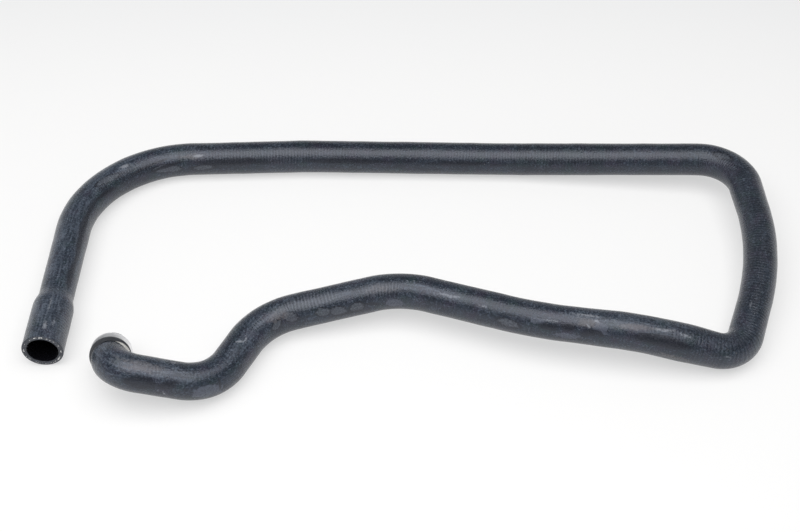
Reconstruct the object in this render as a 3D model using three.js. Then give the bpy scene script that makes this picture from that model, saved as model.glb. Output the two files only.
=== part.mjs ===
import * as THREE from "three";

// A moulded coolant hose, lying as it rests on a table. The open end is belled to push over a pipe
// stub. On the other end a crimped metal cup holds the hose on the stem of a short socket.
// Lengths are in millimetres, +Z is up and the table is the plane Z = 0.

// Hose
const hoseDiameter = 34;
const hoseBore = 25;
const bellDiameter = 38.2;
const bellBore = 29;
const bellLength = 57;
const bellTaper = 13;
const cutEdgeRound = 0.6;

// Crimp cup on the hose end
const cupWall = 1.5;
const cupLength = 12;
const cupShoulderRound = 0.6;
const cupRimChamfer = 0.4;
const hoseGrip = 10;
const heldDiameter = 34.4;
const neckWall = 2.1;
const neckSwell = 9;

// Socket and its stem
const stemLength = 10;
const stemBore = 18;
const barbCount = 2;
const barbHeight = 0.9;
const barbPitch = 4;
const flangeThickness = 1.6;
const socketDiameter = 30;
const socketLength = 13;
const socketBore = 23;
const socketDepth = 11;
const socketEdgeChamfer = 0.8;

// Seal in the socket
const sealSection = 2.6;
const sealSetback = 4;
const sealStretch = 0.4;

// Clearance between pieces that touch
const fitGap = 0.3;

// Fineness of the faceted surfaces
const hoseSides = 20;
const ringSides = 40;
const bendStepDegrees = 9;
const taperSteps = 5;

// Route of the hose, from the bell's mouth to the crimped end. Every stretch has a length along the
// table and a drift to its side, and every corner has a bend radius. A height is that of the
// hose's underside over the table, and a corner without one lies on it.

// Bell leg, away from the viewer
const mouthHeight = 0.7;
const bellLegLength = 276;
const bellLegDrift = 3;
const farLeftBend = 113;

// Far run, to the right
const farRunStart = 231;
const farRunStartDrift = 9;
const farRunFirstBend = 300;
const farRunMiddle = 220;
const farRunMiddleDrift = 5;
const farRunSecondBend = 390;
const farRunEnd = 234;
const farRunEndDrift = 23;
const farRightHeight = 19;
const farRightBend = 48;

// Right leg, back towards the viewer
const rightLegFar = 142;
const rightLegFarDrift = 4;
const rightLegHeight = 16;
const rightLegBend = 310;
const rightLegNear = 116;
const rightLegNearDrift = 45;
const nearRightDip = 2.6;
const nearRightBend = 31;

// Near run, to the left, up off the table and down again
const riseStart = 51;
const riseStartDrift = 4;
const riseStartHeight = 9;
const riseStartBend = 200;
const riseEnd = 46;
const riseEndDrift = 5;
const riseEndHeight = 19;
const riseEndBend = 185;
const nearRunStart = 91;
const nearRunStartDrift = 15;
const nearRunHeight = 20;
const nearRunBend = 300;
const nearRunEnd = 125;
const nearRunEndDrift = 47;
const crestHeight = 15;
const crestBend = 98;
const descentLength = 130;
const descentDrift = 27;

// S-bend towards the viewer, then the leg up to the elbow and the crimped end
const swerveFirstBend = 63;
const swerveLength = 83;
const swerveDrift = 38;
const swerveSecondBend = 47;
const endLegLength = 90;
const endLegDrift = 3;
const elbowHeight = 27;
const elbowBend = 27;
const upturnLength = 37;
const upturnDrift = 5;
const crimpedEndHeight = 7;

// Corners of the route, each at a step from the one before. Girth is the hose's outer size there as
// a share of its diameter, since a hose formed on a mandrel is a little uneven outside.
const route = [
  { dx: 0, dy: 0, height: mouthHeight, bend: 0, girth: 0.93 },
  { dx: -bellLegDrift, dy: bellLegLength, height: 0, bend: farLeftBend, girth: 1.0 },
  { dx: farRunStart, dy: farRunStartDrift, height: 0, bend: farRunFirstBend, girth: 1.0 },
  { dx: farRunMiddle, dy: -farRunMiddleDrift, height: 0, bend: farRunSecondBend, girth: 1.0 },
  { dx: farRunEnd, dy: -farRunEndDrift, height: farRightHeight, bend: farRightBend, girth: 0.98 },
  { dx: rightLegFarDrift, dy: -rightLegFar, height: rightLegHeight, bend: rightLegBend, girth: 0.95 },
  { dx: -rightLegNearDrift, dy: -rightLegNear, height: -nearRightDip, bend: nearRightBend, girth: 0.97 },
  { dx: -riseStart, dy: riseStartDrift, height: riseStartHeight, bend: riseStartBend, girth: 1.06 },
  { dx: -riseEnd, dy: riseEndDrift, height: riseEndHeight, bend: riseEndBend, girth: 1.02 },
  { dx: -nearRunStart, dy: nearRunStartDrift, height: nearRunHeight, bend: nearRunBend, girth: 0.98 },
  { dx: -nearRunEnd, dy: nearRunEndDrift, height: crestHeight, bend: crestBend, girth: 0.99 },
  { dx: -descentLength, dy: -descentDrift, height: 0, bend: swerveFirstBend, girth: 1.0 },
  { dx: -swerveDrift, dy: -swerveLength, height: 0, bend: swerveSecondBend, girth: 1.0 },
  { dx: -endLegLength, dy: -endLegDrift, height: elbowHeight, bend: elbowBend, girth: 1.0 },
  { dx: -upturnDrift, dy: upturnLength, height: crimpedEndHeight, bend: 0, girth: 0.98 },
];

// Radii that the pieces share
const boreRadius = hoseBore / 2;
const neckRadius = boreRadius + neckWall;
const heldRadius = heldDiameter / 2;
const cupInside = heldRadius + fitGap;
const cupOutside = cupInside + cupWall;
const cupMouth = neckRadius + fitGap;

// Straight stretch between two points
function straight(from, to, girthFrom, girthTo) {
  const direction = to.clone().sub(from).normalize();
  return {
    length: from.distanceTo(to),
    steps: 1,
    pointAt: (t) => from.clone().lerp(to, t),
    directionAt: () => direction.clone(),
    girthAt: (t) => THREE.MathUtils.lerp(girthFrom, girthTo, t),
  };
}

// Arc of the given radius that rounds the corner between two stretches
function bendAt(before, corner, after, radius, girth) {
  const back = before.clone().sub(corner).normalize();
  const ahead = after.clone().sub(corner).normalize();
  const halfAngle = back.angleTo(ahead) / 2;
  const turn = Math.PI - 2 * halfAngle;
  const start = corner.clone().addScaledVector(back, radius / Math.tan(halfAngle));
  const inward = back.clone().add(ahead).normalize();
  const centre = corner.clone().addScaledVector(inward, radius / Math.sin(halfAngle));
  const spoke = start.clone().sub(centre).normalize();
  const heading = back.clone().negate();
  const spokeAt = (t) => spoke.clone().multiplyScalar(Math.cos(turn * t))
    .addScaledVector(heading, Math.sin(turn * t));
  return {
    length: radius * turn,
    steps: Math.ceil(THREE.MathUtils.radToDeg(turn) / bendStepDegrees),
    pointAt: (t) => centre.clone().addScaledVector(spokeAt(t), radius),
    directionAt: (t) => heading.clone().multiplyScalar(Math.cos(turn * t))
      .addScaledVector(spoke, -Math.sin(turn * t)),
    girthAt: () => girth,
  };
}

// The whole route as straight stretches and bends
function layRoute() {
  let x = 0;
  let y = 0;
  const corners = route.map(({ dx, dy, height, girth }, index) => {
    x += dx;
    y += dy;
    const radius = index === 0 ? bellDiameter / 2 : (girth * hoseDiameter) / 2;
    return new THREE.Vector3(x, y, height + radius);
  });
  const pieces = [];
  let from = corners[0];
  let girthFrom = route[0].girth;
  for (let index = 1; index < route.length - 1; index += 1) {
    const { bend, girth } = route[index];
    const arc = bendAt(corners[index - 1], corners[index], corners[index + 1], bend, girth);
    pieces.push(straight(from, arc.pointAt(0), girthFrom, girth), arc);
    from = arc.pointAt(1);
    girthFrom = girth;
  }
  const last = route.length - 1;
  pieces.push(straight(from, corners[last], girthFrom, route[last].girth));
  return pieces;
}

const pieces = layRoute();
const hoseLength = pieces.reduce((sum, piece) => sum + piece.length, 0);

// Point, direction and girth of the hose at a distance along its route
function routeAt(distance) {
  let passed = 0;
  for (const piece of pieces) {
    if (distance <= passed + piece.length || piece === pieces[pieces.length - 1]) {
      const t = Math.min((distance - passed) / piece.length, 1);
      return { point: piece.pointAt(t), direction: piece.directionAt(t), girth: piece.girthAt(t) };
    }
    passed += piece.length;
  }
  return null;
}

// Distances along the hose at which its section is drawn
function sectionDistances() {
  const distances = [0, cutEdgeRound];
  for (let step = 0; step <= taperSteps; step += 1) {
    distances.push(bellLength + (bellTaper * step) / taperSteps);
  }
  let passed = 0;
  for (const piece of pieces) {
    for (let step = 1; step <= piece.steps; step += 1) {
      distances.push(passed + (piece.length * step) / piece.steps);
    }
    passed += piece.length;
  }
  const lip = hoseLength - hoseGrip;
  for (let step = 0; step <= taperSteps; step += 1) {
    distances.push(lip - (neckSwell * step) / taperSteps);
  }
  distances.push(lip + cupWall + fitGap / 2);
  distances.push(lip + cupWall + fitGap + (heldRadius - neckRadius));
  const closest = cutEdgeRound / 2;
  const sorted = distances.sort((a, b) => a - b);
  return sorted.filter((value, index) => index === 0 || value - sorted[index - 1] > closest);
}

// Smooth change from 0 to 1 as the distance passes through the given stretch
function blend(distance, start, length) {
  return THREE.MathUtils.smoothstep(distance, start, start + length);
}

// Outer radius of the hose: bell, body, then the neck and the shoulder behind it in the cup
function outerRadius(distance, girth) {
  const body = (girth * hoseDiameter) / 2;
  const belled = THREE.MathUtils.lerp(bellDiameter / 2, body, blend(distance, bellLength, bellTaper));
  const edge = Math.max(cutEdgeRound - distance, 0);
  const lip = hoseLength - hoseGrip;
  const necked = blend(distance, lip - neckSwell, neckSwell);
  const behindLip = distance - (lip + cupWall + fitGap / 2);
  const released = THREE.MathUtils.clamp(behindLip / (heldRadius - neckRadius), 0, 1);
  const gripped = THREE.MathUtils.lerp(neckRadius, heldRadius, released);
  return THREE.MathUtils.lerp(belled - edge, gripped, necked);
}

// Bore radius of the hose, wider in the bell
function innerRadius(distance) {
  const edge = Math.max(cutEdgeRound - distance, 0);
  return THREE.MathUtils.lerp(bellBore / 2, boreRadius, blend(distance, bellLength, bellTaper)) + edge;
}

// Closed tube with a wall: outside, bore and the two cut ends
function hoseGeometry() {
  const distances = sectionDistances();
  const positions = [];
  const faces = [];
  let previous = null;
  let side = new THREE.Vector3(0, 0, 1);
  for (const distance of distances) {
    const { point, direction, girth } = routeAt(distance);
    if (previous) {
      side.applyQuaternion(new THREE.Quaternion().setFromUnitVectors(previous, direction));
    }
    side = side.clone().addScaledVector(direction, -side.dot(direction)).normalize();
    const across = new THREE.Vector3().crossVectors(direction, side);
    for (const radius of [outerRadius(distance, girth), innerRadius(distance)]) {
      for (let corner = 0; corner < hoseSides; corner += 1) {
        const angle = (2 * Math.PI * corner) / hoseSides;
        const spot = point.clone().addScaledVector(side, radius * Math.cos(angle));
        spot.addScaledVector(across, radius * Math.sin(angle));
        positions.push(spot.x, spot.y, spot.z);
      }
    }
    previous = direction;
  }
  const outer = (section, corner) => section * 2 * hoseSides + (corner % hoseSides);
  const inner = (section, corner) => outer(section, corner) + hoseSides;
  const quad = (a, b, c, d) => faces.push(a, b, c, a, c, d);
  const end = distances.length - 1;
  for (let corner = 0; corner < hoseSides; corner += 1) {
    const next = corner + 1;
    for (let section = 0; section < end; section += 1) {
      const ahead = section + 1;
      quad(outer(section, corner), outer(section, next), outer(ahead, next), outer(ahead, corner));
      quad(inner(section, next), inner(section, corner), inner(ahead, corner), inner(ahead, next));
    }
    quad(outer(0, next), outer(0, corner), inner(0, corner), inner(0, next));
    quad(outer(end, corner), outer(end, next), inner(end, next), inner(end, corner));
  }
  const geometry = new THREE.BufferGeometry();
  geometry.setAttribute("position", new THREE.Float32BufferAttribute(positions, 3));
  geometry.setIndex(faces);
  geometry.computeVertexNormals();
  return geometry;
}

// Ring turned from a closed outline of [radius, distance along the axis] points. The outline runs
// so that the far side of the axis comes first on the outside.
function turned(outline) {
  const points = outline.map(([radius, along]) => new THREE.Vector2(radius, along));
  points.push(points[0].clone());
  return new THREE.LatheGeometry(points, ringSides);
}

// Points on a quarter circle of the outline, from one angle to another in degrees
function arcPoints(centreRadius, centreAlong, radius, fromDegrees, toDegrees, steps) {
  const points = [];
  for (let step = 0; step <= steps; step += 1) {
    const degrees = fromDegrees + ((toDegrees - fromDegrees) * step) / steps;
    const angle = THREE.MathUtils.degToRad(degrees);
    points.push([
      centreRadius + radius * Math.cos(angle),
      centreAlong + radius * Math.sin(angle),
    ]);
  }
  return points;
}

// Crimp cup: lip round the hose, rounded shoulder, plain cylinder. Zero is the lip's outer face.
function cupGeometry() {
  const shoulderCentre = cupOutside - cupShoulderRound;
  const shoulder = arcPoints(shoulderCentre, cupShoulderRound, cupShoulderRound, -90, 0, 5);
  return turned([
    [cupMouth, cupWall],
    [cupMouth, 0],
    ...shoulder,
    [cupOutside, cupLength - cupRimChamfer],
    [cupOutside - cupRimChamfer, cupLength],
    [cupInside, cupLength],
    [cupInside, cupWall],
  ]);
}

// Distance from the lip's outer face to the parts of the socket
const flangeStart = hoseGrip + fitGap;
const flangeEnd = flangeStart + flangeThickness;
const socketEnd = flangeEnd + socketLength;
const stemStart = flangeStart - stemLength;
const stemRadius = boreRadius - fitGap;
const stemRoot = stemRadius - barbHeight;
const flangeRadius = cupInside - fitGap;
const sealCentre = socketEnd - sealSetback;
const sealSeat = socketBore / 2 + sealSection - sealStretch;

// Barbed stem, flange and socket in one turned piece with a bore right through
function insertGeometry() {
  const barbs = [];
  for (let barb = 0; barb < barbCount; barb += 1) {
    const start = stemStart + barb * barbPitch;
    barbs.push([stemRoot, start], [stemRadius, start + barbPitch - barbHeight]);
    barbs.push([stemRadius, start + barbPitch - barbHeight / 2]);
  }
  const grooveHalf = sealSection / 2 + fitGap;
  return turned([
    [stemBore / 2, stemStart],
    ...barbs,
    [stemRoot, stemStart + barbCount * barbPitch],
    [stemRoot, flangeStart],
    [flangeRadius, flangeStart],
    [flangeRadius, flangeEnd],
    [socketDiameter / 2, flangeEnd],
    [socketDiameter / 2, socketEnd - socketEdgeChamfer],
    [socketDiameter / 2 - socketEdgeChamfer, socketEnd],
    [socketBore / 2 + socketEdgeChamfer, socketEnd],
    [socketBore / 2, socketEnd - socketEdgeChamfer],
    [socketBore / 2, sealCentre + grooveHalf],
    [sealSeat + fitGap, sealCentre + grooveHalf],
    [sealSeat + fitGap, sealCentre - grooveHalf],
    [socketBore / 2, sealCentre - grooveHalf],
    [socketBore / 2, socketEnd - socketDepth],
    [stemBore / 2, socketEnd - socketDepth],
  ]);
}

// Round seal seated in the socket's groove
function sealGeometry() {
  const section = arcPoints(sealSeat - sealSection / 2, sealCentre, sealSection / 2, 0, 360, 12);
  return turned(section.slice(0, -1));
}

// Materials as they look in the flesh
const rubber = new THREE.MeshStandardMaterial({ color: 0x33363d, roughness: 0.62, metalness: 0 });
const pressedMetal = new THREE.MeshStandardMaterial({ color: 0xc9cbcd, roughness: 0.32, metalness: 1 });
const mouldedPlastic = new THREE.MeshStandardMaterial({ color: 0x1d1e20, roughness: 0.55, metalness: 0 });
const sealRubber = new THREE.MeshStandardMaterial({ color: 0x17181a, roughness: 0.7, metalness: 0 });

function namedMesh(name, geometry, material) {
  const mesh = new THREE.Mesh(geometry, material);
  mesh.name = name;
  return mesh;
}

const hose = namedMesh("hose", hoseGeometry(), rubber);

// The crimped end's pieces share one axis, which starts at the lip and follows the hose out
const crimpedEnd = new THREE.Group();
crimpedEnd.add(namedMesh("crimp_ferrule", cupGeometry(), pressedMetal));
crimpedEnd.add(namedMesh("coupling_insert", insertGeometry(), mouldedPlastic));
crimpedEnd.add(namedMesh("seal_ring", sealGeometry(), sealRubber));
const hoseEnd = routeAt(hoseLength);
const lipPlace = hoseEnd.point.clone().addScaledVector(hoseEnd.direction, -hoseGrip);
crimpedEnd.position.copy(lipPlace);
crimpedEnd.quaternion.setFromUnitVectors(new THREE.Vector3(0, 1, 0), hoseEnd.direction);

// The origin is under the middle of the whole part, at table height
const assembly = new THREE.Group();
assembly.add(hose, crimpedEnd);
assembly.updateMatrixWorld(true);
const extent = new THREE.Box3().setFromObject(assembly, true);
const middle = extent.getCenter(new THREE.Vector3());
assembly.position.set(-middle.x, -middle.y, -extent.min.z);

export default assembly;
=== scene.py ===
import math

import bpy
import numpy as np
from mathutils import Matrix, Vector


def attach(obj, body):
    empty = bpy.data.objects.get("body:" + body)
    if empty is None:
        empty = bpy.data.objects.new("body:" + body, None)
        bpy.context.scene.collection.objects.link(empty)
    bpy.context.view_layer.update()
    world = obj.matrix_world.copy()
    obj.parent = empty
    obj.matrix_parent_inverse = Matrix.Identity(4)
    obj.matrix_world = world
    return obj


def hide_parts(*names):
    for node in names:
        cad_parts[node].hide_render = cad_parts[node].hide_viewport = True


# A used moulded coolant hose on a white table. Sizes are in millimetres until a mesh is made.

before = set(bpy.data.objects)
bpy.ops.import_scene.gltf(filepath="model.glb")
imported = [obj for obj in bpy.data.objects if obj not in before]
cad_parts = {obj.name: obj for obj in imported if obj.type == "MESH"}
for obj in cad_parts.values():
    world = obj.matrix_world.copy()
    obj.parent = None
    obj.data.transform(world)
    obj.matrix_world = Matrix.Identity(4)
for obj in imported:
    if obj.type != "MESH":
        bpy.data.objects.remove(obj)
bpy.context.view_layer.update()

MM = 0.001

# Hose
HOSE_DIAMETER = 34.0
HOSE_BORE = 25.0
BELL_DIAMETER = 38.2
BELL_BORE = 29.0
BELL_LENGTH = 57.0
BELL_TAPER = 13.0
CUT_EDGE_ROUND = 0.6

# The bell's taper starts this much before the solid's, which makes it softer
TAPER_SOFTNESS = 4.5

# Sides of the hose's skin, and where its rings lie
HOSE_SIDES = 80
FACE_SHARES = (0.0, 0.04, 0.25, 0.5, 0.75, 0.96, 1.0)
EDGE_DEGREES = (22, 45, 68, 90)
FIRST_OUTER_RING = 1.5
OUTER_STEP = 2.1
NECK_STEP = 0.8
NECK_RINGS = 16
SWELL_RING = 3.2
BORE_STEP = 8.0
TAPER_RINGS = 5
TAPER_SHARE = 0.8
BELL_BORE_RINGS = (42.0, 28.0, 14.0, 5.0, 1.5)

# The girth at a place is the mean of spots up to this far before and after it
GIRTH_REACH = 18.0
GIRTH_SPOTS = 7

# The inside is black, and the cut face takes a share of that; the margins say what counts as each
CUT_FACE_SHADE = 0.6
CUT_FACE_MARGIN = 0.2
INSIDE_MARGIN = 0.1

# Crimped end
CUP_WALL = 1.5
CUP_LENGTH = 12.0
CUP_SHOULDER_ROUND = 0.6
CUP_RIM_CHAMFER = 0.4
HOSE_GRIP = 10.0
HELD_DIAMETER = 34.4
NECK_WALL = 2.1
NECK_SWELL = 9.0
STEM_LENGTH = 10.0
STEM_BORE = 18.0
BARB_COUNT = 2
BARB_HEIGHT = 0.9
BARB_PITCH = 4.0
FLANGE_THICKNESS = 1.6
SOCKET_DIAMETER = 30.0
SOCKET_LENGTH = 13.0
SOCKET_BORE = 23.0
SOCKET_DEPTH = 11.0
SOCKET_EDGE_CHAMFER = 0.8
SEAL_SECTION = 2.6
SEAL_SETBACK = 4.0
SEAL_STRETCH = 0.4
FIT_GAP = 0.3
CUP_SIDES = 160
SOCKET_SIDES = 96
SEAL_STEPS = 24
SHARP_EDGE = 35.0

# Route of the hose: x, y, height of the underside, bend radius, girth as a share of the diameter
ROUTE = [
    (-328, -115, 0.7, 0, 0.93),
    (-331, 161, 0, 113, 1.0),
    (-100, 170, 0, 300, 1.0),
    (120, 165, 0, 390, 1.0),
    (354, 142, 19, 48, 0.98),
    (358, 0, 16, 310, 0.95),
    (313, -116, -2.6, 31, 0.97),
    (262, -112, 9, 200, 1.06),
    (216, -107, 19, 185, 1.02),
    (125, -92, 20, 300, 0.98),
    (0, -45, 15, 98, 0.99),
    (-130, -72, 0, 63, 1.0),
    (-168, -155, 0, 47, 1.0),
    (-258, -158, 27, 27, 1.0),
    (-263, -121, 7, 0, 0.98),
]
ROUTE_SHIFT = np.array([-12.288, -6.372, 0.125])

# Uneven outside of a hose formed by hand on a mandrel: wave length along, turns round, height, phase
LUMPS = [
    (61.0, 2, 0.05, 0.3),
    (37.0, 3, 0.04, 1.9),
    (23.0, 1, 0.03, 4.1),
    (143.0, 2, 0.07, 2.2),
]

# The waves grow between two distances from the mouth, and fade between two before the cup's lip
LUMPS_GROW = (4.0, 20.0)
LUMPS_FADE = (30.0, 9.0)

# Yarn ends in the cut face of the bell
YARN_RING = (BELL_BORE + BELL_DIAMETER) / 4 + 0.15
YARN_COUNT = 44
YARN_GAPS = 0.42
YARN_WIDTH = 0.60
YARN_SCATTER = 0.45
YARN_SEED = 11
YARN_LEAST = (0.35, 0.3, 0.25)
YARN_MOST = (1.3, 0.7, 0.45)

# Bundles that stand out: degrees round from the top, length round the ring, width, radial offset
YARN_BUNDLES = [
    (4, 4.2, 0.95, 0.5),
    (-12, 3.2, 0.8, 0.4),
    (24, 1.6, 0.6, 0.2),
    (46, 1.5, 0.85, 0.0),
    (68, 1.4, 0.95, 0.1),
    (94, 3.4, 1.3, 0.0),
    (128, 4.8, 1.25, -0.1),
    (146, 2.4, 0.9, 0.1),
    (166, 1.4, 0.6, 0.2),
    (-150, 1.2, 0.55, 0.0),
    (-124, 1.0, 0.5, 0.1),
    (-88, 2.2, 1.2, 0.1),
    (-58, 1.0, 0.5, 0.0),
]
BUNDLE_STEPS = 10
BUNDLE_SIDES = 8
BUNDLE_HEIGHT = 0.16
BUNDLE_FRAY = 0.25
FRAY_TURNS = 7

# Camera
CAMERA_PLACE = np.array([0.0, -918.6, 904.1])
CAMERA_PITCH = 44.0
CAMERA_LENS = 58.5
CAMERA_SENSOR = 36.0
CAMERA_REACH = 50.0

# Light
HORIZON_STRENGTH = 0.84
HORIZON_TOP = 0.45
SKY_STRENGTH = 0.24
KEY_POWER = 31.0
KEY_PLACE = (-0.22, -0.49, 1.5)
KEY_SIZE = (2.3, 1.7)
TABLE_GLOW = 0.52
TABLE_HALF = 6.0
# Where the table's painted shade grows, from near to far
TABLE_SHADE_FADE = (0.25, 1.1)


def tone(red, green, blue):
    return (red, green, blue, 1.0)


# Colours of the rubber and of what lies on it
RUBBER_DARK = tone(0.004, 0.008, 0.016)
RUBBER_WORN = tone(0.009, 0.017, 0.030)
VIOLET_CAST = tone(0.015, 0.014, 0.029)
GREEN_CAST = tone(0.006, 0.018, 0.023)
CHALK_HAZE = tone(0.066, 0.086, 0.118)
PALE_STREAK = tone(0.125, 0.145, 0.180)
PIT = tone(0.002, 0.004, 0.009)
# Painted shade in the grooves of the knit ribs and a painted highlight on their crests
RIB_GROOVE_SHADE = tone(0.004, 0.006, 0.012)
RIB_CREST_HIGHLIGHT = tone(0.120, 0.130, 0.155)
GREY_FILM = tone(0.078, 0.088, 0.118)
TIDE_FILM = tone(0.080, 0.088, 0.104)
TIDE_EDGE = tone(0.004, 0.005, 0.010)
WIPED_DARK = tone(0.003, 0.004, 0.009)
BROWN_SCUFF = tone(0.120, 0.104, 0.100)
PALE_RUB = tone(0.27, 0.285, 0.32)
DUST = tone(0.33, 0.34, 0.36)
INSIDE_BLACK = tone(0.004, 0.004, 0.006)
RUBBER_GLINT = tone(0.87, 0.90, 1.0)

# Colours of the other pieces
ALUMINIUM = tone(0.80, 0.80, 0.81)
ALUMINIUM_DULL = tone(0.64, 0.645, 0.66)
# Painted shade and painted highlight on the cup's lip
LIP_PAINTED_SHADE = tone(0.016, 0.019, 0.026)
LIP_PAINTED_HIGHLIGHT = tone(0.80, 0.78, 0.74)
PLASTIC = tone(0.016, 0.016, 0.018)
PLASTIC_RUBBED = tone(0.030, 0.030, 0.033)
SEAL_RUBBER = tone(0.010, 0.010, 0.011)
SEAL_GREASE = tone(0.024, 0.024, 0.026)
YARN_DIRTY = tone(0.26, 0.26, 0.27)
YARN_CLEAN = tone(0.88, 0.88, 0.86)
WHITE = tone(1.0, 1.0, 1.0)
# Painted shade: the table's colour darkens towards the back
TABLE_NEAR = tone(0.95, 0.95, 0.95)
TABLE_FAR_SHADED = tone(0.80, 0.815, 0.83)
TABLE_FAR_SHADED_GLOW = tone(0.86, 0.875, 0.895)
SKY = tone(0.985, 0.99, 1.0)
LAMP = (1.0, 0.995, 0.985)

# Marks of use, broad paler patches, and stretches where the ribs show with painted shade and
# highlight: distance along, degrees round from the top, half length, half width, tilt, weight
MARKS = {
    "tide": [
        (1561, -66, 7.5, 4.5, 10, 1.0),
        (1547, -75, 8.5, 5.5, 15, 1.0),
        (1529, -77, 7.5, 5.5, -5, 1.0),
        (1593, -57, 9, 5, 20, 1.0),
        (1613, -62, 8, 4, -15, 0.8),
        (237, 26, 17, 3.6, 10, 1.0),
        (309, 76, 19, 4.6, 9, 1.0),
        (352, 84, 13, 3.6, -4, 0.7),
        (905, 20, 10, 4, 0, 0.5),
        (1375, -75, 10, 4, 5, 0.7),
    ],
    "film": [
        (1708, -87, 11, 8, 0, 1.2),
        (1294, -48, 7.5, 6.5, 20, 1.0),
        (1490, -86, 13, 4.6, 0, 0.9),
        (1322, -84, 14, 4, 0, 0.7),
        (1350, -48, 8, 3, 0, 0.6),
    ],
    "pale": [
        (1741, -91, 4.5, 1.5, 60, 1.1),
        (1747, -86, 3, 1.2, -50, 0.9),
        (1737, 18, 5, 1.6, 0, 0.9),
        (1660, -15, 6, 1.5, 50, 1.0),
        (1654, -24, 6, 1.2, -30, 0.8),
        (1305, -43, 3.6, 1.4, 35, 1.5),
        (1471, -7, 2.0, 1.3, 0, 1.1),
        (1465, -4, 1.6, 1.2, 0, 1.0),
        (1477, -9, 1.4, 1.0, 0, 1.0),
        (264, 18, 7, 2.8, 10, 0.9),
        (347, 40, 6.5, 1.7, -4, 1.2),
        (1237, -19, 12, 2.4, -6, 1.0),
        (1221, -24, 9, 2.2, 5, 1.0),
        (1336, -41, 10, 2.6, 0, 0.7),
        (1306, -8, 15, 2.0, 0, 0.7),
        (1402, -39, 5, 1.4, 0, 0.6),
        (1433, -31, 14, 1.6, -4, 0.45),
        (44, 8, 12, 1.3, 0, 0.9),
        (14, 9, 9, 2.8, -4, 1.0),
        (22, 30, 8, 1.6, 4, 0.6),
        (1160, 27, 3.0, 1.4, 0, 1.0),
        (1298, -25, 3.4, 1.6, 10, 0.9),
        (1120, 10, 6, 1.4, 0, 0.6),
        (1180, -62, 5, 1.6, 0, 0.6),
    ],
    # Broad patches that make the rubber paler, strongest over the bell and the left leg
    "paler": [
        (130, 8, 130, 24, 0, 1.2),
        (30, 6, 60, 26, 0, 1.6),
        (245, 0, 60, 16, 0, 0.9),
        (330, 20, 70, 14, 0, 0.4),
        (1560, -10, 90, 16, 0, 0.5),
        (1650, -25, 60, 20, 0, 0.5),
        (1760, -20, 60, 20, 0, 0.9),
        (1805, -30, 30, 24, 0, 0.8),
        (1270, -12, 90, 12, 0, 0.6),
        (1460, -22, 50, 8, 0, 0.5),
    ],
    "brown": [
        (1308, -35, 12, 5, 0, 1.0),
        (1265, -27, 20, 3.4, -5, 0.9),
        (1227, -104, 18, 4.5, 0, 0.7),
        (1762, -17, 24, 7, 0, 0.7),
        (338, 42, 16, 4, 0, 0.5),
        (1607, -40, 14, 5, 0, 0.4),
        (1500, -36, 18, 5, 0, 0.5),
    ],
    "dark": [
        (1323, -54, 8, 4.4, 0, 1.3),
        (1303, -64, 9, 3.6, -12, 1.2),
        (1294, -62, 5, 2.4, 30, 1.0),
        (1238, -56, 28, 6, 0, 1.1),
        (1340, -62, 10, 4, 0, 0.8),
        (1760, -66, 13, 7.5, 0, 1.3),
        (1740, -62, 10, 4, -20, 0.6),
        (1699.5, -72, 1.3, 8, 0, 1.1),
        (1513, -78, 9, 2, 15, 1.0),
        (1540, -92, 20, 2, 0, 0.7),
        (222, 60, 20, 2.4, 8, 1.1),
        (286, 50, 24, 1.8, -6, 0.9),
        (310, 66, 26, 2.0, -6, 1.0),
        (326, 33, 1.0, 8, 0, 1.0),
        (390, 66, 50, 4, 0, 0.6),
        (520, 66, 60, 3, 0, 0.5),
        (640, 70, 50, 3, 0, 0.5),
        (150, 52, 60, 4, 0, 0.6),
        (90, 48, 24, 4, 0, 0.6),
    ],
    # Stretches where the ribs show, as bumps and with painted shade and highlight
    "ribbed": [
        (1571, -22, 34, 9, 0, 1.6),
        (1502, -34, 22, 7, 0, 1.2),
        (1150, -40, 46, 22, 0, 0.15),
        (1040, 30, 120, 24, 0, 0.12),
        (420, 46, 110, 9, 0, 0.5),
        (700, 40, 150, 7, 0, 0.4),
        (20, 60, 30, 12, 0, 0.3),
    ],
}

# Painted shade on the cup's lip, a dark band on its outer part: degrees round from the top, and the
# share of the lip's width that stays unshaded next to the hose and takes a painted highlight instead
UNSHADED_LIP = [(-180, 0.9), (-125, 0.75), (-80, 0.35), (-40, 0.0), (20, 0.0), (45, 0.45), (75, 0.82),
             (180, 0.9)]


def unit(vector):
    return vector / np.linalg.norm(vector)


def smoothstep(value, low, high):
    share = np.clip((value - low) / (high - low), 0, 1)
    return share * share * (3 - 2 * share)


# Route of the hose as straight stretches and bends

def lay_route():
    corners = []
    for index, (x, y, lift, _, girth) in enumerate(ROUTE):
        radius = BELL_DIAMETER / 2 if index == 0 else girth * HOSE_DIAMETER / 2
        corners.append(np.array([x, y, lift + radius]) + ROUTE_SHIFT)
    pieces = []
    start, girth_start = corners[0], ROUTE[0][4]
    for index in range(1, len(ROUTE) - 1):
        radius, girth = ROUTE[index][3], ROUTE[index][4]
        corner = corners[index]
        back = unit(corners[index - 1] - corner)
        ahead = unit(corners[index + 1] - corner)
        half = math.acos(np.clip(back @ ahead, -1, 1)) / 2
        turn = math.pi - 2 * half
        begin = corner + back * radius / math.tan(half)
        centre = corner + unit(back + ahead) * radius / math.sin(half)
        spoke, heading = unit(begin - centre), -back
        pieces.append(("line", start, begin, girth_start, girth))
        pieces.append(("arc", centre, spoke, heading, radius, turn, girth))
        start = centre + radius * (spoke * math.cos(turn) + heading * math.sin(turn))
        girth_start = girth
    pieces.append(("line", start, corners[-1], girth_start, ROUTE[-1][4]))
    return pieces


def piece_length(piece):
    if piece[0] == "line":
        return float(np.linalg.norm(piece[2] - piece[1]))
    return piece[4] * piece[5]


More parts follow.
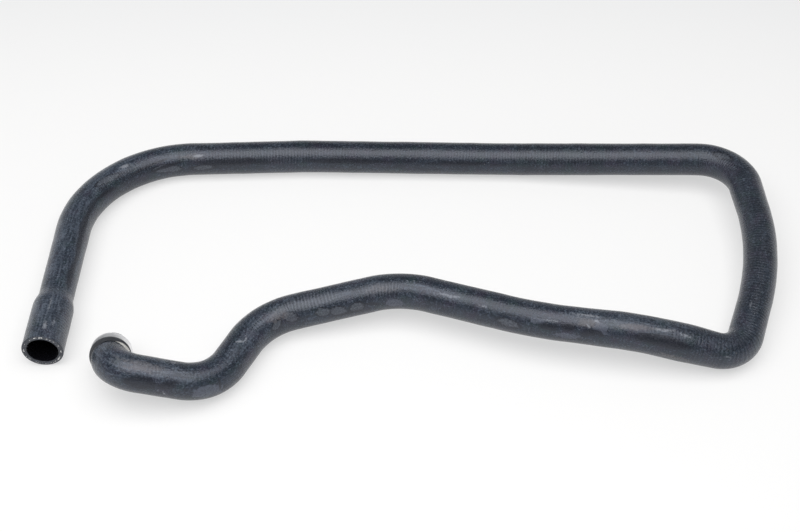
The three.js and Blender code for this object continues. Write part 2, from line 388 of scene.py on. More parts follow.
PIECES = lay_route()
HOSE_LENGTH = sum(piece_length(piece) for piece in PIECES)
LIP = HOSE_LENGTH - HOSE_GRIP
NECK_START = LIP - NECK_SWELL
NECK_RADIUS = HOSE_BORE / 2 + NECK_WALL
GRIP_START = LIP + CUP_WALL + FIT_GAP / 2


def route_at(distance):
    """Point, direction and girth at a distance along the hose."""
    index, passed = 0, 0.0
    while index < len(PIECES) - 1 and distance > passed + piece_length(PIECES[index]):
        passed += piece_length(PIECES[index])
        index += 1
    piece = PIECES[index]
    share = min((distance - passed) / piece_length(piece), 1.0)
    if piece[0] == "line":
        _, start, end, girth_start, girth_end = piece
        girth = girth_start + (girth_end - girth_start) * share
        return start + (end - start) * share, unit(end - start), girth
    _, centre, spoke, heading, radius, turn, girth = piece
    angle = turn * share
    point = centre + radius * (spoke * math.cos(angle) + heading * math.sin(angle))
    return point, heading * math.cos(angle) - spoke * math.sin(angle), girth


def smooth_girth(distance):
    """Girth evened out over a short stretch, so that no step shows."""
    spots = np.linspace(distance - GIRTH_REACH, distance + GIRTH_REACH, GIRTH_SPOTS)
    return float(np.mean([route_at(min(max(spot, 0), HOSE_LENGTH))[2] for spot in spots]))


def section_axes(direction):
    """Upward and sideways directions across the hose."""
    up = unit(np.array([0.0, 0.0, 1.0]) - direction[2] * direction)
    return up, np.cross(direction, up)


# Node trees

class Value:
    """A socket in a node tree that ordinary arithmetic works on."""

    def __init__(self, nodes, socket):
        self.nodes = nodes
        self.socket = socket

    def maths(self, operation, *inputs):
        return self.nodes.make("ShaderNodeMath", inputs, operation=operation)

    def __add__(self, other):
        return self.maths("ADD", self, other)

    def __radd__(self, other):
        return self.maths("ADD", other, self)

    def __sub__(self, other):
        return self.maths("SUBTRACT", self, other)

    def __rsub__(self, other):
        return self.maths("SUBTRACT", other, self)

    def __mul__(self, other):
        return self.maths("MULTIPLY", self, other)

    def __rmul__(self, other):
        return self.maths("MULTIPLY", other, self)

    def __truediv__(self, other):
        return self.maths("DIVIDE", self, other)

    def sine(self):
        return self.maths("SINE", self)

    def cosine(self):
        return self.maths("COSINE", self)

    def whole(self):
        return self.maths("FLOOR", self)

    def largest(self, other):
        return self.maths("MAXIMUM", self, other)

    def change(self, low, high, first=0.0, last=1.0, way="SMOOTHSTEP"):
        """Goes from the first result to the last between two values, and stays there beyond."""
        inputs = (self, low, high, first, last)
        return self.nodes.make("ShaderNodeMapRange", inputs, interpolation_type=way)


class Nodes:
    """Makes and links the nodes of one tree."""

    def __init__(self, tree):
        self.tree = tree
        self.tree.nodes.clear()

    def make(self, kind, inputs=(), output=0, **settings):
        node = self.tree.nodes.new(kind)
        for key, value in settings.items():
            setattr(node, key, value)
        pairs = inputs.items() if isinstance(inputs, dict) else enumerate(inputs)
        for key, value in pairs:
            if isinstance(value, Value):
                self.tree.links.new(value.socket, node.inputs[key])
            else:
                node.inputs[key].default_value = value
        return Value(self, node.outputs[output]) if node.outputs else None

    def part(self, where, output):
        return self.make("ShaderNodeSeparateXYZ", (where,), output=output)

    def add(self, first, second):
        return self.make("ShaderNodeVectorMath", (first, second), operation="ADD")

    def scale(self, vector, factor):
        return self.make("ShaderNodeVectorMath", {0: vector, "Scale": factor}, operation="SCALE")


class Shaper(Nodes):
    """Makes a Geometry Nodes tree whose sizes are named inputs, and runs it on a seed mesh."""

    def __init__(self, name, sizes):
        super().__init__(bpy.data.node_groups.new(name, "GeometryNodeTree"))
        self.sizes = sizes
        self.names = {}
        self.socket("Geometry", "INPUT", "NodeSocketGeometry")
        for key, value in sizes.items():
            kind = "NodeSocketInt" if isinstance(value, int) else "NodeSocketFloat"
            self.names[key] = self.socket(key, "INPUT", kind).identifier
        self.socket("Geometry", "OUTPUT", "NodeSocketGeometry")

    def socket(self, name, way, kind):
        return self.tree.interface.new_socket(name=name, in_out=way, socket_type=kind)

    def given(self, name):
        return self.make("NodeGroupInput", output=name)

    def random(self, kind, output=0, **inputs):
        """One random value for each point, from the tree's fixed seed."""
        named = {"Seed": self.given("Seed"), **inputs}
        return self.make("FunctionNodeRandomValue", named, output=output, data_type=kind)

    def finish(self, geometry, material):
        solid = self.make("GeometryNodeRealizeInstances", (geometry,))
        coated = self.make("GeometryNodeSetMaterial", {"Geometry": solid, "Material": material})
        self.make("NodeGroupOutput", (coated,))

    def run(self, seed, name):
        """Turns what the tree makes of the seed into a plain mesh on a new object."""
        modifier = seed.modifiers.new(name, "NODES")
        modifier.node_group = self.tree
        for key, value in self.sizes.items():
            modifier[self.names[key]] = value
        seed.update_tag()
        evaluated = seed.evaluated_get(bpy.context.evaluated_depsgraph_get())
        mesh = bpy.data.meshes.new_from_object(evaluated)
        bpy.data.objects.remove(seed)
        mesh.shade_smooth()
        obj = bpy.data.objects.new(name, mesh)
        bpy.context.scene.collection.objects.link(obj)
        return obj


class Paint(Nodes):
    """Makes the nodes of one material."""

    def __init__(self, name):
        self.material = bpy.data.materials.new(name)
        self.material.use_nodes = True
        super().__init__(self.material.node_tree)

    def attribute(self, name, output="Fac"):
        return self.make("ShaderNodeAttribute", output=output, attribute_name=name)

    def place(self):
        return self.make("ShaderNodeTexCoord", output="Object")

    def noise(self, where, scale, detail, rough, warp=0.0):
        inputs = {"Vector": where, "Scale": scale, "Detail": detail, "Roughness": rough}
        inputs["Distortion"] = warp
        return self.make("ShaderNodeTexNoise", inputs)

    def cells(self, where, scale):
        return self.make("ShaderNodeTexVoronoi", {"Vector": where, "Scale": scale})

    def stretch(self, where, factors):
        return self.make("ShaderNodeVectorMath", (where, factors), operation="MULTIPLY")

    def blend(self, factor, first, second):
        inputs = {0: factor, 6: first, 7: second}
        return self.make("ShaderNodeMix", inputs, output=2, data_type="RGBA")

    def bump(self, height, distance, strength):
        inputs = {"Height": height, "Strength": strength, "Distance": distance}
        return self.make("ShaderNodeBump", inputs)

    def surface(self, **inputs):
        named = {key.replace("_", " "): value for key, value in inputs.items()}
        shader = self.make("ShaderNodeBsdfPrincipled", named)
        self.make("ShaderNodeOutputMaterial", {"Surface": shader})
        return self.material


# Meshes

def mesh_object(name, points, faces, smooth=True):
    mesh = bpy.data.meshes.new(name)
    mesh.from_pydata([tuple(point) for point in points], [], faces)
    mesh.update()
    if smooth:
        mesh.shade_smooth()
    obj = bpy.data.objects.new(name, mesh)
    bpy.context.scene.collection.objects.link(obj)
    return obj


def add_field(mesh, name, values):
    attribute = mesh.attributes.new(name, "FLOAT", "POINT")
    attribute.data.foreach_set("value", np.asarray(values, dtype=np.float32))


def add_vectors(mesh, name, vectors):
    attribute = mesh.attributes.new(name, "FLOAT_VECTOR", "POINT")
    attribute.data.foreach_set("vector", np.asarray(vectors, dtype=np.float32).ravel())


# Hose: one closed skin, from the cut face along the outside and back through the bore

def bore_radius(distance):
    share = smoothstep(distance, BELL_LENGTH, BELL_LENGTH + BELL_TAPER)
    return BELL_BORE / 2 * (1 - share) + HOSE_BORE / 2 * share


def cut_edge(face_radius, way):
    """Rings of the cut edge's rounding, from the face on."""
    rings = []
    for degrees in EDGE_DEGREES:
        angle = math.radians(degrees)
        radius = face_radius + way * CUT_EDGE_ROUND * math.sin(angle)
        rings.append((CUT_EDGE_ROUND * (1 - math.cos(angle)), radius))
    return rings


def skin_rings():
    """Rings of the skin in order: distance along, and radius, which is 0 for the outside."""
    face_low, face_high = BELL_BORE / 2 + CUT_EDGE_ROUND, BELL_DIAMETER / 2 - CUT_EDGE_ROUND
    rings = [(0.0, face_low + (face_high - face_low) * share) for share in FACE_SHARES]
    rings += cut_edge(face_high, 1)
    count = int((NECK_START - FIRST_OUTER_RING) / OUTER_STEP)
    outside = list(np.linspace(FIRST_OUTER_RING, NECK_START, count))
    outside += list(np.linspace(NECK_START + NECK_STEP, GRIP_START, NECK_RINGS))
    outside += [LIP + SWELL_RING, LIP + CUP_WALL + SWELL_RING, HOSE_LENGTH]
    rings += [(distance, 0.0) for distance in outside]
    taper_end = BELL_LENGTH + BELL_TAPER
    bore = np.linspace(HOSE_LENGTH, taper_end, int((HOSE_LENGTH - taper_end) / BORE_STEP))
    rings += [(distance, HOSE_BORE / 2) for distance in bore]
    taper = np.linspace(BELL_LENGTH + BELL_TAPER * TAPER_SHARE, BELL_LENGTH, TAPER_RINGS)
    rings += [(distance, bore_radius(distance)) for distance in taper]
    rings += [(distance, BELL_BORE / 2) for distance in BELL_BORE_RINGS]
    return rings + cut_edge(face_low, -1)[::-1]


def hose_shaper(material, ring_count):
    """Bends a closed tube of rings along the route, each ring on its own point of the seed."""
    shape = Shaper("hose_skin", {
        "Rings": ring_count,
        "Sides": HOSE_SIDES,
        "Hose Radius": HOSE_DIAMETER / 2,
        "Bell Radius": BELL_DIAMETER / 2,
        "Taper Start": BELL_LENGTH - TAPER_SOFTNESS,
        "Taper End": BELL_LENGTH + BELL_TAPER,
        "Neck Radius": NECK_RADIUS,
        "Neck Start": NECK_START,
        "Neck End": LIP,
        "Held Radius": HELD_DIAMETER / 2,
        "Held Start": GRIP_START,
        "Held End": GRIP_START + HELD_DIAMETER / 2 - NECK_RADIUS,
    })
    given = shape.given

    # The tube's points are counted ring by ring, so a point's number gives its ring and its angle
    loop = shape.make("GeometryNodeCurvePrimitiveCircle", {"Resolution": given("Rings")})
    section = shape.make("GeometryNodeCurvePrimitiveCircle", {"Resolution": given("Sides")})
    tube = shape.make("GeometryNodeCurveToMesh", (loop, section))
    point = shape.make("GeometryNodeInputIndex")
    ring = (point / given("Sides")).whole()
    angle = (point - ring * given("Sides")) * (2 * math.pi) / given("Sides")

    def sampled(name, kind):
        value = shape.make("GeometryNodeInputNamedAttribute", (name,), data_type=kind)
        inputs = (given("Geometry"), value, ring)
        return shape.make("GeometryNodeSampleIndex", inputs, data_type=kind, domain="POINT")

    along, radius = sampled("along", "FLOAT"), sampled("radius", "FLOAT")
    belled = along.change(given("Taper Start"), given("Taper End"))
    body = sampled("girth", "FLOAT") * given("Hose Radius")
    outer = given("Bell Radius") * (1 - belled) + body * belled
    gripped = along.change(given("Held Start"), given("Held End"),
                           given("Neck Radius"), given("Held Radius"), "LINEAR")
    necked = along.change(given("Neck Start"), given("Neck End"))
    outer = outer * (1 - necked) + gripped * necked
    lumps = 0.0
    for wave, turns, height, phase in LUMPS:
        lumps = lumps + height * (2 * math.pi / wave * along + turns * angle + phase).sine()
    faded = along.change(LIP - LUMPS_FADE[0], LIP - LUMPS_FADE[1])
    outer = outer + lumps * along.change(*LUMPS_GROW) * (1 - faded)
    reach = shape.make("GeometryNodeSwitch", (radius, outer, radius), input_type="FLOAT")
    high, aside = reach * angle.cosine(), reach * angle.sine()
    spread = shape.add(shape.scale(sampled("up", "FLOAT_VECTOR"), high),
                       shape.scale(sampled("aside", "FLOAT_VECTOR"), aside))
    spot = shape.scale(shape.add(sampled("centre", "FLOAT_VECTOR"), spread), MM)
    bent = shape.make("GeometryNodeSetPosition", {"Geometry": tube, "Position": spot})
    laid = shape.make("ShaderNodeCombineXYZ", (along, high, aside))
    inputs = {"Geometry": bent, "Name": "laid", "Value": laid}
    marked = shape.make("GeometryNodeStoreNamedAttribute", inputs, data_type="FLOAT_VECTOR",
                        domain="POINT")
    shape.finish(marked, material)
    return shape


def mark_field(marks, distances, turns, radii):
    """Height above the marks' outlines: 1 in the middle of a mark, 0 on its outline."""
    field = np.full(distances.shape, -1.0)
    for along, degrees, half_length, half_width, tilt, weight in marks:
        step = distances - along
        side = np.degrees(turns) - degrees
        side = np.radians((side + 180) % 360 - 180) * radii
        lean = math.radians(tilt)
        run = step * math.cos(lean) + side * math.sin(lean)
        rise = side * math.cos(lean) - step * math.sin(lean)
        reach = np.sqrt((run / half_length) ** 2 + (rise / half_width) ** 2)
        field = np.maximum(field, weight * (1 - reach))
    return field


def make_hose(material):
    rings = skin_rings()
    centres, ups, asides = [], [], []
    for distance, _ in rings:
        centre, direction, _ = route_at(distance)
        up, aside = section_axes(direction)
        centres.append(centre)
        ups.append(up)
        asides.append(aside)
    seed = mesh_object("hose_seed", np.array(centres) * MM, [])
    add_field(seed.data, "along", [distance for distance, _ in rings])
    add_field(seed.data, "radius", [radius for _, radius in rings])
    add_field(seed.data, "girth", [smooth_girth(distance) for distance, _ in rings])
    add_vectors(seed.data, "centre", centres)
    add_vectors(seed.data, "up", ups)
    add_vectors(seed.data, "aside", asides)
    obj = hose_shaper(material, len(rings)).run(seed, "moulded_hose")

    laid = np.empty(len(obj.data.vertices) * 3, dtype=np.float32)
    obj.data.attributes["laid"].data.foreach_get("vector", laid)
    distances, high, aside = laid.reshape(-1, 3).astype(float).T
    turns, radii = np.arctan2(aside, high), np.hypot(high, aside)
    for name, marks in MARKS.items():
        add_field(obj.data, name, mark_field(marks, distances, turns, radii))
    inner = radii < HOSE_BORE / 2 + INSIDE_MARGIN
    in_bell = distances < BELL_LENGTH + BELL_TAPER
    bell_inner = in_bell & (radii < BELL_BORE / 2 + INSIDE_MARGIN)
    cut_face = (distances < CUT_FACE_MARGIN) * CUT_FACE_SHADE
    add_field(obj.data, "shade", np.maximum(inner | bell_inner, cut_face))
    return obj


# Turned pieces of the crimped end

def end_matrix():
    """Places the crimped end's axis: +Z follows the hose out and zero is the cup's lip."""
    point, direction, _ = route_at(HOSE_LENGTH)
    lip_place = (point - direction * HOSE_GRIP) * MM
    turn = Vector((0, 0, 1)).rotation_difference(Vector(direction))
    return Matrix.Translation(Vector(lip_place)) @ turn.to_matrix().to_4x4()


def turned(name, outline, sides):
    """Closed ring from an outline of (radius, distance along the axis) points."""
    points, faces = [], []
    count = len(outline)
    for side in range(sides):
        angle = 2 * math.pi * side / sides
        for radius, along in outline:
            place = (radius * math.cos(angle) * MM, radius * math.sin(angle) * MM, along * MM)
            points.append(place)
    for side in range(sides):
        here, beside = side * count, (side + 1) % sides * count
        for step in range(count):
            ahead = (step + 1) % count
            faces.append((here + step, beside + step, beside + ahead, here + ahead))
    obj = mesh_object(name, points, faces)
    obj.data.set_sharp_from_angle(angle=math.radians(SHARP_EDGE))
    obj.data.transform(end_matrix())
    return obj


def rounded(corners, steps):
    """Outline with each corner (radius, along, rounding) turned into a small arc."""
    outline = []
    count = len(corners)
    for index, (radius, along, rounding) in enumerate(corners):
        here = np.array([radius, along])
        back = np.array(corners[index - 1][:2]) - here
        ahead = np.array(corners[(index + 1) % count][:2]) - here
        if rounding == 0:
            outline.append(tuple(here))
            continue
        back_end, ahead_end = here + unit(back) * rounding, here + unit(ahead) * rounding
        for step in range(steps + 1):
            share = step / steps
            curve = (1 - share) ** 2 * back_end + 2 * share * (1 - share) * here
            outline.append(tuple(curve + share ** 2 * ahead_end))
    return outline


CUP_INSIDE = HELD_DIAMETER / 2 + FIT_GAP
CUP_OUTSIDE = CUP_INSIDE + CUP_WALL
CUP_MOUTH = NECK_RADIUS + FIT_GAP
FLANGE_START = HOSE_GRIP + FIT_GAP
FLANGE_END = FLANGE_START + FLANGE_THICKNESS
FLANGE_RADIUS = CUP_INSIDE - FIT_GAP
SOCKET_END = FLANGE_END + SOCKET_LENGTH
STEM_START = FLANGE_START - STEM_LENGTH
STEM_RADIUS = HOSE_BORE / 2 - FIT_GAP
STEM_ROOT = STEM_RADIUS - BARB_HEIGHT
SEAL_CENTRE = SOCKET_END - SEAL_SETBACK
SEAL_SEAT = SOCKET_BORE / 2 + SEAL_SECTION - SEAL_STRETCH


def make_cup():
    lip = np.linspace(CUP_MOUTH + 0.5, CUP_OUTSIDE - CUP_SHOULDER_ROUND - 0.1, 8)
    outline = rounded([
        (CUP_MOUTH, CUP_WALL, 0.3),
        (CUP_MOUTH, 0, 0.35),
        *[(radius, 0, 0) for radius in lip],
        (CUP_OUTSIDE, 0, CUP_SHOULDER_ROUND),
        (CUP_OUTSIDE, CUP_LENGTH, CUP_RIM_CHAMFER),
        (CUP_INSIDE, CUP_LENGTH, 0.2),
        (CUP_INSIDE, CUP_WALL, 0.6),
    ], steps=4)
    obj = turned("crimped_cup", outline, CUP_SIDES)
    point, direction, _ = route_at(HOSE_LENGTH)
    up, right = section_axes(direction)
    spots = np.array([vertex.co for vertex in obj.data.vertices]) / MM - point
    along = spots @ direction + HOSE_GRIP
    high, aside = spots @ up, spots @ right
    degrees = np.degrees(np.arctan2(aside, high))
    share = (np.hypot(high, aside) - CUP_MOUTH) / (CUP_OUTSIDE - CUP_MOUTH)
    # Painted shade darkens the lip's outer part, and a painted highlight makes the part next to the
    # hose pale
    unshaded = np.interp(degrees, *zip(*UNSHADED_LIP))
    on_lip = 1 - smoothstep(along, CUP_SHOULDER_ROUND * 0.4, CUP_SHOULDER_ROUND)
    lip_shade = smoothstep(share - unshaded, -0.10, 0.06)
    add_field(obj.data, "lip_shade", lip_shade * on_lip)
    add_field(obj.data, "lip_highlight", (1 - lip_shade) * on_lip)
    return obj


def make_socket():
    corners = [(STEM_BORE / 2, STEM_START, 0.2)]
    for barb in range(BARB_COUNT):
        start = STEM_START + barb * BARB_PITCH
        corners.append((STEM_ROOT, start, 0.1))
        corners.append((STEM_RADIUS, start + BARB_PITCH - BARB_HEIGHT, 0.1))
        corners.append((STEM_RADIUS, start + BARB_PITCH - BARB_HEIGHT / 2, 0.1))
    half = SEAL_SECTION / 2 + FIT_GAP
    corners += [
        (STEM_ROOT, STEM_START + BARB_COUNT * BARB_PITCH, 0.1),
        (STEM_ROOT, FLANGE_START, 0.2),
        (FLANGE_RADIUS, FLANGE_START, 0.3),
        (FLANGE_RADIUS, FLANGE_END, 0.3),
        (SOCKET_DIAMETER / 2, FLANGE_END, 0.3),
        (SOCKET_DIAMETER / 2, SOCKET_END, SOCKET_EDGE_CHAMFER),
        (SOCKET_BORE / 2, SOCKET_END, SOCKET_EDGE_CHAMFER),
        (SOCKET_BORE / 2, SEAL_CENTRE + half, 0.2),
        (SEAL_SEAT + FIT_GAP, SEAL_CENTRE + half, 0.2),
        (SEAL_SEAT + FIT_GAP, SEAL_CENTRE - half, 0.2),
        (SOCKET_BORE / 2, SEAL_CENTRE - half, 0.2),
        (SOCKET_BORE / 2, SOCKET_END - SOCKET_DEPTH, 0.4),
        (STEM_BORE / 2, SOCKET_END - SOCKET_DEPTH, 0.4),
    ]
    return turned("coupling_socket", rounded(corners, steps=3), SOCKET_SIDES)


def make_seal():
    outline = []
    for step in range(SEAL_STEPS):
        angle = 2 * math.pi * step / SEAL_STEPS
        radius = SEAL_SEAT - SEAL_SECTION / 2 + SEAL_SECTION / 2 * math.cos(angle)
        outline.append((radius, SEAL_CENTRE + SEAL_SECTION / 2 * math.sin(angle)))
    return turned("socket_seal", outline, SOCKET_SIDES)


# Yarn that shows in the cut face of the bell

def mouth_matrix():
    """Places the cut face: its +Y is the top of the hose and +Z points out of the mouth."""
    centre, direction, _ = route_at(0.0)
    up, right = section_axes(direction)
    matrix = Matrix((right, up, -direction)).transposed().to_4x4()
    return Matrix.Translation(Vector(centre * MM)) @ matrix


def make_yarn(material):
    """Short stubs scattered round a ring, with gaps."""
    shape = Shaper("yarn_ends", {
        "Count": YARN_COUNT,
        "Ring": YARN_RING * MM,
        "Width": YARN_WIDTH * MM,
        "Scatter": YARN_SCATTER * MM,
        "Gaps": YARN_GAPS,
        "Seed": YARN_SEED,
    })
    given = shape.given
    inputs = {"Vertices": given("Count"), "Radius": given("Ring")}
    ring = shape.make("GeometryNodeMeshCircle", inputs)
    shake = shape.random("FLOAT_VECTOR", Min=(-1, -1, 0), Max=(1, 1, 0))
    inputs = {"Geometry": ring, "Offset": shape.scale(shake, given("Scatter"))}
    moved = shape.make("GeometryNodeSetPosition", inputs)
    missing = shape.random("BOOLEAN", output=3, Probability=given("Gaps"))
    inputs = {"Geometry": moved, "Selection": missing}
    thinned = shape.make("GeometryNodeDeleteGeometry", inputs, domain="POINT")
    inputs = {"Segments": 10, "Rings": 6, "Radius": given("Width")}
    stub = shape.make("GeometryNodeMeshUVSphere", inputs)
    inputs = {"Vector": shape.make("GeometryNodeInputPosition")}
    aligned = shape.make("FunctionNodeAlignRotationToVector", inputs, axis="Y")
    sizes = shape.random("FLOAT_VECTOR", Min=YARN_LEAST, Max=YARN_MOST)
    inputs = {"Points": thinned, "Instance": stub, "Rotation": aligned, "Scale": sizes}
    shape.finish(shape.make("GeometryNodeInstanceOnPoints", inputs), material)
    obj = shape.run(mesh_object("yarn_seed", [(0, 0, 0)], []), "yarn_ends")
    obj.data.transform(mouth_matrix())
    return obj


def make_bundles():
    """Longer frayed bundles, each a low pad that follows the ring."""
    points, faces = [], []
    for degrees, length, width, offset in YARN_BUNDLES:
        start = len(points)
        middle = math.radians(degrees)
        ring = YARN_RING + offset
        half_turn = length / ring / 2
        for step in range(BUNDLE_STEPS + 1):
            share = 2 * step / BUNDLE_STEPS - 1
            fray = 1 + BUNDLE_FRAY * math.sin(FRAY_TURNS * share + degrees)
            swell = math.sqrt(max(1 - share ** 4, 0.0)) * fray
            turn = middle + half_turn * share
            for side in range(BUNDLE_SIDES):
                angle = 2 * math.pi * side / BUNDLE_SIDES
                radius = (ring + width / 2 * swell * math.cos(angle)) * MM
                high = BUNDLE_HEIGHT * swell * math.sin(angle) * MM
                points.append((radius * math.sin(turn), radius * math.cos(turn), high))
        for step in range(BUNDLE_STEPS):
            here = start + step * BUNDLE_SIDES
            ahead = here + BUNDLE_SIDES
            for side in range(BUNDLE_SIDES):
                beside = (side + 1) % BUNDLE_SIDES
                faces.append((here + side, ahead + side, ahead + beside, here + beside))
    obj = mesh_object("yarn_bundles", points, faces)
    obj.data.transform(mouth_matrix())
    return obj


# Materials

def rubber_material():
    """Old dark rubber with a chalky haze, knit ribs with painted shade in their grooves and painted
    highlights on their crests, broad paler patches, tide marks, scuffs and dust.
    """
    paint = Paint("aged_rubber")
    laid = paint.attribute("laid", "Vector")
    along = paint.part(laid, 0)
    clouds = paint.noise(laid, 0.028, 4.0, 0.6)
    patches = paint.noise(paint.stretch(laid, (0.35, 1.0, 1.0)), 0.11, 4.0, 0.6, 0.6)
    mottle = paint.noise(laid, 0.42, 4.0, 0.68)
    speckle = paint.noise(laid, 0.62, 3.0, 0.7)
    tint = paint.noise(laid, 0.06, 2.0, 0.5)
    flecks = speckle.change(0.53, 0.62)

    # Bare rubber, with casts of violet and green
    dull = paint.blend(clouds.change(0.36, 0.66), RUBBER_DARK, RUBBER_WORN)
    hued = paint.blend(tint.change(0.50, 0.70), dull, VIOLET_CAST)
    greened = paint.blend(tint.change(0.46, 0.32), hued, GREEN_CAST)

    # Ribs of the knit that show through, whose crests also lighten the haze as a painted highlight,
    # and the chalky haze over all
    wobble = paint.noise(laid, 0.09, 2.0, 0.5) * 5.0
    ribs = (along * 1.95 + wobble).sine() * 0.5 + 0.5
    knit = paint.noise(paint.stretch(laid, (1.0, 0.45, 0.45)), 0.12, 2.0, 0.5)
    ribs_shown = ribs * knit.change(0.40, 0.66) * 0.25
    # Broad patches that make the rubber paler, with paler streaks in them
    paler = paint.attribute("paler").change(-0.2, 0.7)
    streaks = paint.noise(paint.stretch(laid, (0.10, 1.0, 1.0)), 0.55, 3.0, 0.6)
    streaks = streaks.change(0.46, 0.66)
    haze = patches.change(0.45, 0.66) * 0.34 + mottle.change(0.48, 0.62) * 0.34
    haze = haze + flecks * 0.68 + ribs_shown * 0.40 - 0.31
    haze = haze + paler * 0.36 + paler * streaks * 0.30
    chalked = paint.blend(haze, greened, CHALK_HAZE)
    pits = mottle.change(0.50, 0.36) * 0.7 * (1 - paler * 0.6)
    pitted = paint.blend(pits, chalked, PIT)
    pale_streaking = paler * streaks * flecks.largest(0.4) * 0.6
    pale_streaked = paint.blend(pale_streaking, pitted, PALE_STREAK)

    # Stretches where the ribs stand out, with painted shade in their grooves and a painted highlight
    # on their crests
    ribbed = paint.attribute("ribbed").change(-0.3, 0.7)
    ribbing = ribbed * speckle.change(0.28, 0.46)
    groove_shaded = paint.blend(ribbing * (1 - ribs) * 0.6, pale_streaked, RIB_GROOVE_SHADE)
    crest_lit = paint.blend(ribbing * ribs * 0.45, groove_shaded, RIB_CREST_HIGHLIGHT)

    # Marks of use, with ragged outlines
    ragged = (mottle - 0.5) * 1.5 + (patches - 0.5) * 1.5
    filmed = (paint.attribute("film") + ragged * 0.7).change(0.02, 0.14)
    greyed = paint.blend(filmed * 0.62, crest_lit, GREY_FILM)
    tide = paint.attribute("tide") * 1.3 + ragged * 0.7
    stain = tide.change(0.10, 0.20) * (speckle.change(0.34, 0.66) * 0.35 + 0.35)
    stained = paint.blend(stain, greyed, TIDE_FILM)
    outline = tide.change(-0.16, -0.02) * tide.change(0.22, 0.08)
    ringed = paint.blend(outline * 0.9, stained, TIDE_EDGE)
    dark = (paint.attribute("dark") + ragged * 0.8).change(-0.12, 0.30)
    shaded = paint.blend(dark * 0.84, ringed, WIPED_DARK)
    brown = (paint.attribute("brown") + ragged * 1.2).change(0.0, 0.5)
    scuffed = paint.blend(brown * 0.42, shaded, BROWN_SCUFF)
    pale = (paint.attribute("pale") + ragged * 1.1).change(0.0, 0.7)
    bleached = paint.blend(pale * 0.62, scuffed, PALE_RUB)
    dust = paint.cells(laid, 0.22).change(0.10, 0.05) * clouds.change(0.50, 0.62)
    dusted = paint.blend(dust * 0.55, bleached, DUST)
    inside = paint.blend(paint.attribute("shade"), dusted, INSIDE_BLACK)

    height = ribs_shown + ribs * ribbed * 0.5 + speckle * 0.8 + mottle * 0.6
    return paint.surface(
        Base_Color=inside,
        Roughness=mottle * 0.22 + patches * 0.20 + flecks * 0.10 + 0.05,
        Normal=paint.bump(height, 0.00040, 0.9),
        Specular_IOR_Level=0.70,
        Specular_Tint=RUBBER_GLINT,
        Sheen_Weight=0.07,
        Sheen_Roughness=0.25,
    )


def metal_material():
    """Pressed aluminium with drawing lines, and on its lip a dark band of painted shade and a pale
    painted highlight next to the hose.
    """
    paint = Paint("pressed_aluminium")
    place = paint.place()
    cloud = paint.noise(place, 160.0, 3.0, 0.6)
    scratch = paint.noise(paint.stretch(place, (1.0, 1.0, 6.0)), 700.0, 2.0, 0.6)
    colour = paint.blend(cloud.change(0.3, 0.75), ALUMINIUM, ALUMINIUM_DULL)
    roughness = cloud * 0.16 + scratch * 0.12 + 0.20
    normal = paint.bump(scratch * 0.6 + cloud * 0.4, 0.00004, 0.6)
    # The lip's painted shade and painted highlight take the place of bare metal there
    lip_shade, lip_highlight = paint.attribute("lip_shade"), paint.attribute("lip_highlight")
    lip_shaded = paint.blend(lip_shade * 0.94, colour, LIP_PAINTED_SHADE)
    lip_lit = paint.blend(lip_highlight * 0.9, lip_shaded, LIP_PAINTED_HIGHLIGHT)
    metallic = 1 - lip_shade.largest(lip_highlight)
    return paint.surface(Base_Color=lip_lit, Metallic=metallic, Roughness=roughness, Normal=normal)


def plastic_material():
    """Black moulded plastic with a fine spark texture."""
    paint = Paint("moulded_plastic")
    place = paint.place()
    grain = paint.noise(place, 1400.0, 2.0, 0.5)
    cloud = paint.noise(place, 120.0, 3.0, 0.6)
    colour = paint.blend(cloud.change(0.4, 0.8), PLASTIC, PLASTIC_RUBBED)
    normal = paint.bump(grain, 0.00005, 0.6)
    return paint.surface(Base_Color=colour, Roughness=cloud * 0.2 + 0.40, Normal=normal)


def seal_material():
    """Smooth seal rubber with a trace of grease."""
    paint = Paint("seal_rubber")
    place = paint.place()
    cloud = paint.noise(place, 220.0, 3.0, 0.6)
    colour = paint.blend(cloud, SEAL_RUBBER, SEAL_GREASE)
    normal = paint.bump(cloud, 0.00003, 0.5)
    return paint.surface(Base_Color=colour, Roughness=cloud * 0.2 + 0.25, Normal=normal)


def yarn_material():
    """Off-white yarn, greyed by dirt in places."""
    paint = Paint("yarn")
    place = paint.place()
    cloud = paint.noise(place, 420.0, 3.0, 0.6)
    fibre = paint.noise(paint.stretch(place, (1.0, 4.0, 1.0)), 2600.0, 2.0, 0.6)
    colour = paint.blend(cloud.change(0.40, 0.62), YARN_DIRTY, YARN_CLEAN)
    normal = paint.bump(fibre, 0.00008, 0.8)
    return paint.surface(Base_Color=colour, Roughness=fibre * 0.2 + 0.6, Normal=normal)


def floor_material():
    """White table top that keeps the shadows and looks as bright as the photograph's."""
    paint = Paint("white_table")
    # Painted shade: the table, lit and glowing alike, darkens towards the back
    far_shade = paint.part(paint.place(), 1).change(*TABLE_SHADE_FADE)
    colour = paint.blend(far_shade, TABLE_NEAR, TABLE_FAR_SHADED)
    inputs = {"Base Color": colour, "Roughness": 0.6, "Specular IOR Level": 0.2}
    lit = paint.make("ShaderNodeBsdfPrincipled", inputs)
    white = paint.blend(far_shade, WHITE, TABLE_FAR_SHADED_GLOW)
    glow = paint.make("ShaderNodeEmission", {"Color": white, "Strength": 1.0})
    seen = paint.make("ShaderNodeLightPath", output="Is Camera Ray")
    mirrored = paint.make("ShaderNodeLightPath", output="Is Glossy Ray")
    share = seen.largest(mirrored) * TABLE_GLOW
    mixed = paint.make("ShaderNodeMixShader", (share, lit, glow))
    paint.make("ShaderNodeOutputMaterial", {"Surface": mixed})
    return paint.material


# Table, light and camera

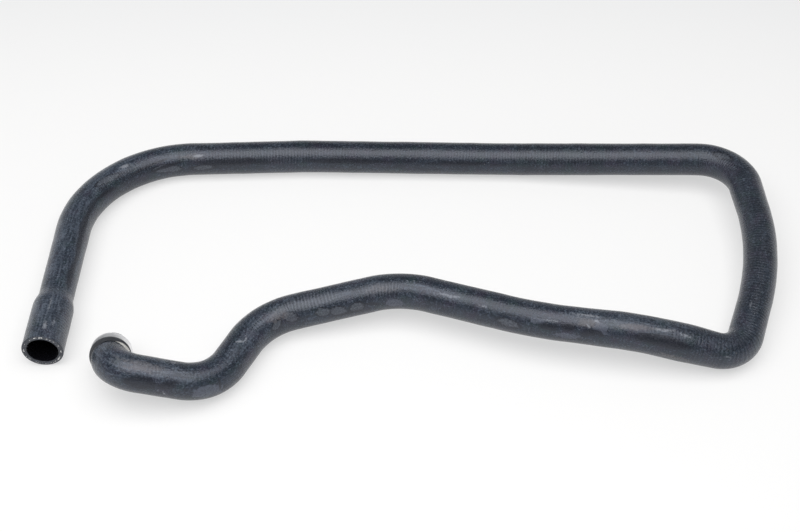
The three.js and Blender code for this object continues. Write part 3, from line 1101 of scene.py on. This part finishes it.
def make_floor():
    half = TABLE_HALF
    corners = [(-half, -half, 0), (half, -half, 0), (half, half, 0), (-half, half, 0)]
    floor = mesh_object("table_top", corners, [(0, 1, 2, 3)], smooth=False)
    floor.data.materials.append(floor_material())


def set_world():
    """Sky that is bright low down, and plain white where the camera sees it."""
    world = bpy.data.worlds.new("studio")
    bpy.context.scene.world = world
    world.use_nodes = True
    sky = Nodes(world.node_tree)
    height = sky.part(sky.make("ShaderNodeTexCoord", output="Generated"), "Z")
    strength = height.change(0.0, HORIZON_TOP, HORIZON_STRENGTH, SKY_STRENGTH)
    lit = sky.make("ShaderNodeBackground", {"Color": SKY, "Strength": strength})
    seen = sky.make("ShaderNodeBackground", {"Color": WHITE, "Strength": 1.0})
    share = sky.make("ShaderNodeLightPath", output="Is Camera Ray")
    mixed = sky.make("ShaderNodeMixShader", (share, lit, seen))
    sky.make("ShaderNodeOutputWorld", {"Surface": mixed})


def make_light():
    light = bpy.data.lights.new("overhead_box", "AREA")
    light.shape = "RECTANGLE"
    light.size, light.size_y = KEY_SIZE
    light.energy = KEY_POWER
    light.color = LAMP
    obj = bpy.data.objects.new("overhead_box", light)
    obj.location = KEY_PLACE
    obj.rotation_euler = Vector((0, 0, -1)).to_track_quat("-Z", "Y").to_euler()
    bpy.context.scene.collection.objects.link(obj)


def make_camera():
    data = bpy.data.cameras.new("photo_view")
    data.lens = CAMERA_LENS
    data.sensor_width = CAMERA_SENSOR
    data.clip_end = CAMERA_REACH
    camera = bpy.data.objects.new("photo_view", data)
    camera.location = (CAMERA_PLACE + ROUTE_SHIFT) * MM
    camera.rotation_euler = (math.radians(90 - CAMERA_PITCH), 0, 0)
    bpy.context.scene.collection.objects.link(camera)
    bpy.context.scene.camera = camera


def dress(obj, material, node):
    obj.data.materials.clear()
    obj.data.materials.append(material)
    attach(obj, "root")
    if node:
        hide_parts(node)


make_camera()
make_light()
set_world()
make_floor()

rubber, yarn = rubber_material(), yarn_material()
dress(make_hose(rubber), rubber, "hose")
dress(make_cup(), metal_material(), "crimp_ferrule")
dress(make_socket(), plastic_material(), "coupling_insert")
dress(make_seal(), seal_material(), "seal_ring")
dress(make_yarn(yarn), yarn, None)
dress(make_bundles(), yarn, None)

bpy.context.scene.view_settings.view_transform = "Standard"
